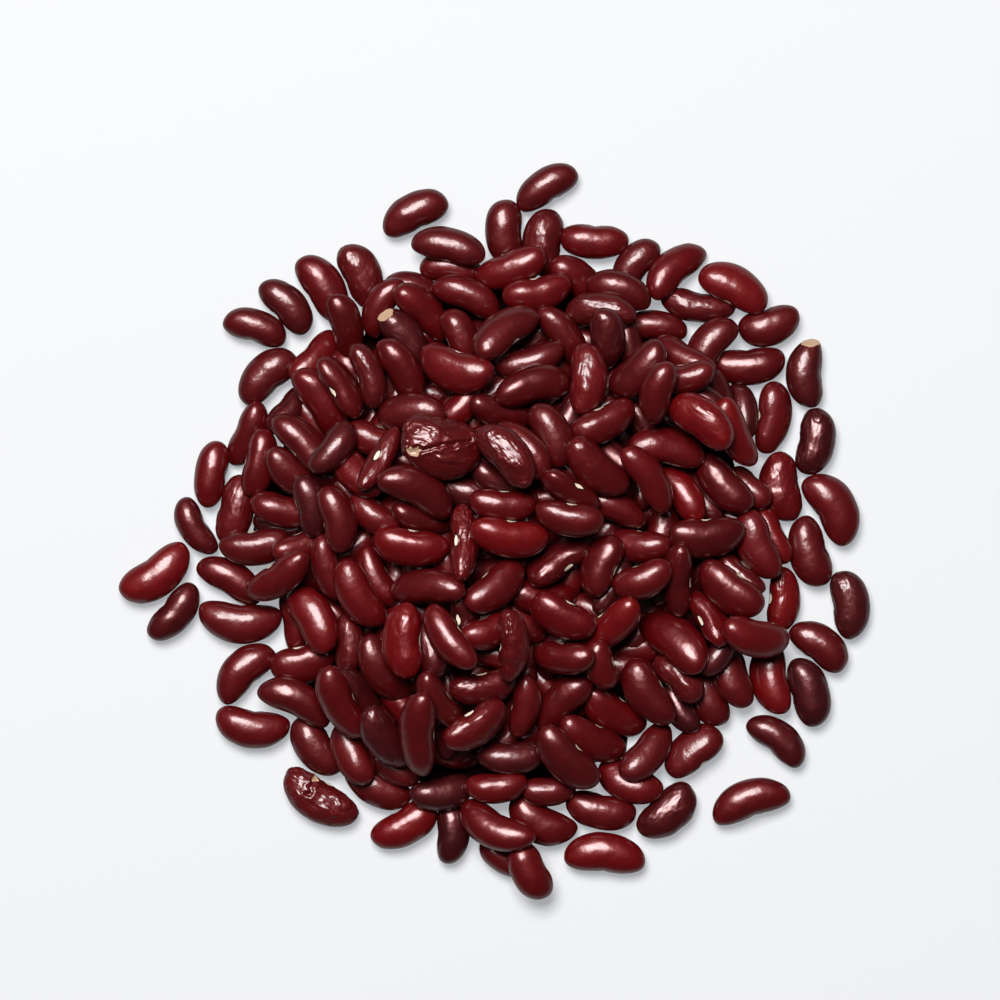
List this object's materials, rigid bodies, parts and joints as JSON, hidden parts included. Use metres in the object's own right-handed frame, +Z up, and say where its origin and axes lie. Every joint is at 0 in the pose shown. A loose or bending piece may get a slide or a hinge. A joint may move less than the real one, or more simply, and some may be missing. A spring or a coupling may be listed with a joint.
{
  "type": "heap of dried red kidney beans",
  "caption": "Low spread-out heap of dried dark red kidney beans lying on a flat surface, with single beans scattered round its uneven edge.",
  "frame": {"origin": "on the surface the beans lie on, at the middle of the spread", "axes": "+Z up, out of the surface; +X and +Y along the surface, +X towards the right and +Y towards the far side when seen from above"},
  "size_m": [0.1739, 0.1708, 0.0284],
  "materials": {
    "seed_coat": "glossy dark red seed coat"
  },
  "bodies": {
    "root": {"bean_heap": "seed_coat", "loose_bean_01": "seed_coat", "loose_bean_02": "seed_coat", "loose_bean_03": "seed_coat", "loose_bean_04": "seed_coat", "loose_bean_05": "seed_coat", "loose_bean_06": "seed_coat", "loose_bean_07": "seed_coat", "loose_bean_08": "seed_coat", "loose_bean_09": "seed_coat", "loose_bean_10": "seed_coat", "loose_bean_11": "seed_coat", "loose_bean_12": "seed_coat", "loose_bean_13": "seed_coat", "loose_bean_14": "seed_coat", "loose_bean_15": "seed_coat", "loose_bean_16": "seed_coat", "loose_bean_17": "seed_coat", "loose_bean_18": "seed_coat", "loose_bean_19": "seed_coat", "loose_bean_20": "seed_coat", "loose_bean_21": "seed_coat", "loose_bean_22": "seed_coat", "loose_bean_23": "seed_coat", "loose_bean_24": "seed_coat", "loose_bean_25": "seed_coat", "loose_bean_26": "seed_coat", "loose_bean_27": "seed_coat", "loose_bean_28": "seed_coat", "loose_bean_29": "seed_coat", "loose_bean_30": "seed_coat", "loose_bean_31": "seed_coat", "loose_bean_32": "seed_coat", "loose_bean_33": "seed_coat", "loose_bean_34": "seed_coat"}
  },
  "joints": []
}
